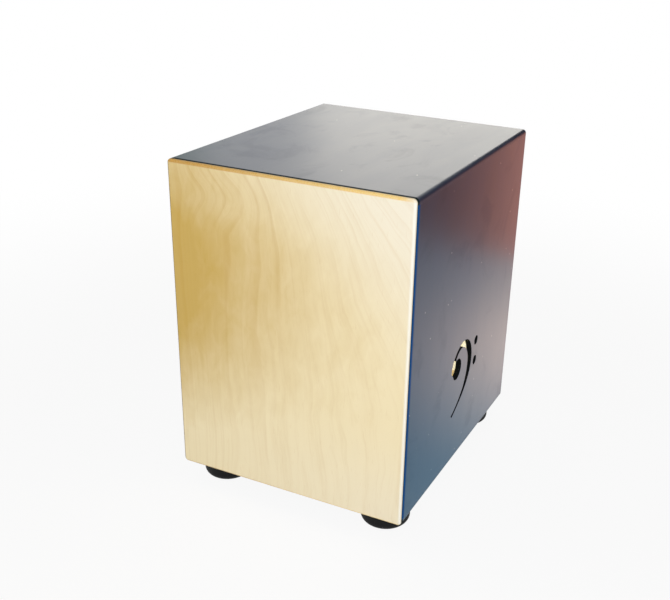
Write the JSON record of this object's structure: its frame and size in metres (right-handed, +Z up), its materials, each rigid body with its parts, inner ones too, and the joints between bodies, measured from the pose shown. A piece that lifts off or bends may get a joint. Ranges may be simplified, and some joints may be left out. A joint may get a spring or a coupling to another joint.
{
  "type": "cajon",
  "caption": "Small box drum with a thin birch front plate, painted plywood shell, clef-shaped sound port, rubber feet and a string snare tuned from below.",
  "frame": {"origin": "middle of the footprint on the floor, under the feet", "axes": "+Z up, +X to the right seen from the front, +Y from the tapa to the back; left and right in names are as seen from the front"},
  "size_m": [0.25, 0.3, 0.347],
  "materials": {
    "birch_tapa": "natural birch plywood, satin lacquer",
    "painted_ply": "blue-black satin paint on plywood",
    "batten_pine": "bare planed pine",
    "foot_rubber": "moulded matt black rubber",
    "string_steel": "wound steel string",
    "snare_brass": "plain machined brass",
    "bolt_steel": "black-oxide steel",
    "zinc_steel": "bright zinc plate"
  },
  "bodies": {
    "box": {"tapa": "birch_tapa", "top_panel": "painted_ply", "bottom_panel": "painted_ply", "left_side_panel": "painted_ply", "right_side_panel": "painted_ply", "back_panel": "painted_ply", "front_top_batten": "batten_pine", "front_bottom_batten": "batten_pine", "front_left_batten": "batten_pine", "front_right_batten": "batten_pine", "rear_top_batten": "batten_pine", "rear_bottom_batten": "batten_pine", "rear_left_batten": "batten_pine", "rear_right_batten": "batten_pine", "top_left_batten": "batten_pine", "top_right_batten": "batten_pine", "bottom_left_batten": "batten_pine", "bottom_right_batten": "batten_pine", "front_left_foot": "foot_rubber", "front_right_foot": "foot_rubber", "rear_left_foot": "foot_rubber", "rear_right_foot": "foot_rubber", "foot_washers": "zinc_steel", "foot_screws": "zinc_steel", "foot_inner_washers": "zinc_steel", "foot_nuts": "zinc_steel", "left_string_bracket": "zinc_steel", "right_string_bracket": "zinc_steel", "bracket_screws": "zinc_steel", "upper_ferrules": "snare_brass", "left_strings": "string_steel", "right_strings": "string_steel", "tension_washers": "zinc_steel"},
    "left_bolt": {"left_tension_bolt": "bolt_steel"},
    "right_bolt": {"right_tension_bolt": "bolt_steel"},
    "left_block": {"left_tension_block": "snare_brass", "left_lower_ferrules": "snare_brass"},
    "right_block": {"right_tension_block": "snare_brass", "right_lower_ferrules": "snare_brass"}
  },
  "joints": [
    {"name": "left_bolt_turn", "type": "hinge", "parent": "box", "child": "left_bolt", "pos_m": [-0.05, -0.1395, 0.028], "axis": [0, 0, -1], "range_deg": [0, 1080]},
    {"name": "left_block_slide", "type": "slide", "parent": "box", "child": "left_block", "axis": [0, 0, 1], "range_m": [0, 0.0024], "deforming": ["left_strings"]},
    {"name": "right_bolt_turn", "type": "hinge", "parent": "box", "child": "right_bolt", "pos_m": [0.05, -0.1395, 0.028], "axis": [0, 0, -1], "range_deg": [0, 1080]},
    {"name": "right_block_slide", "type": "slide", "parent": "box", "child": "right_block", "axis": [0, 0, 1], "range_m": [0, 0.0024], "deforming": ["right_strings"]}
  ],
  "couplings": [
    {"joint": "left_bolt_turn", "follows": "left_block_slide", "rad_per_m": 7854},
    {"joint": "right_bolt_turn", "follows": "right_block_slide", "rad_per_m": 7854}
  ]
}
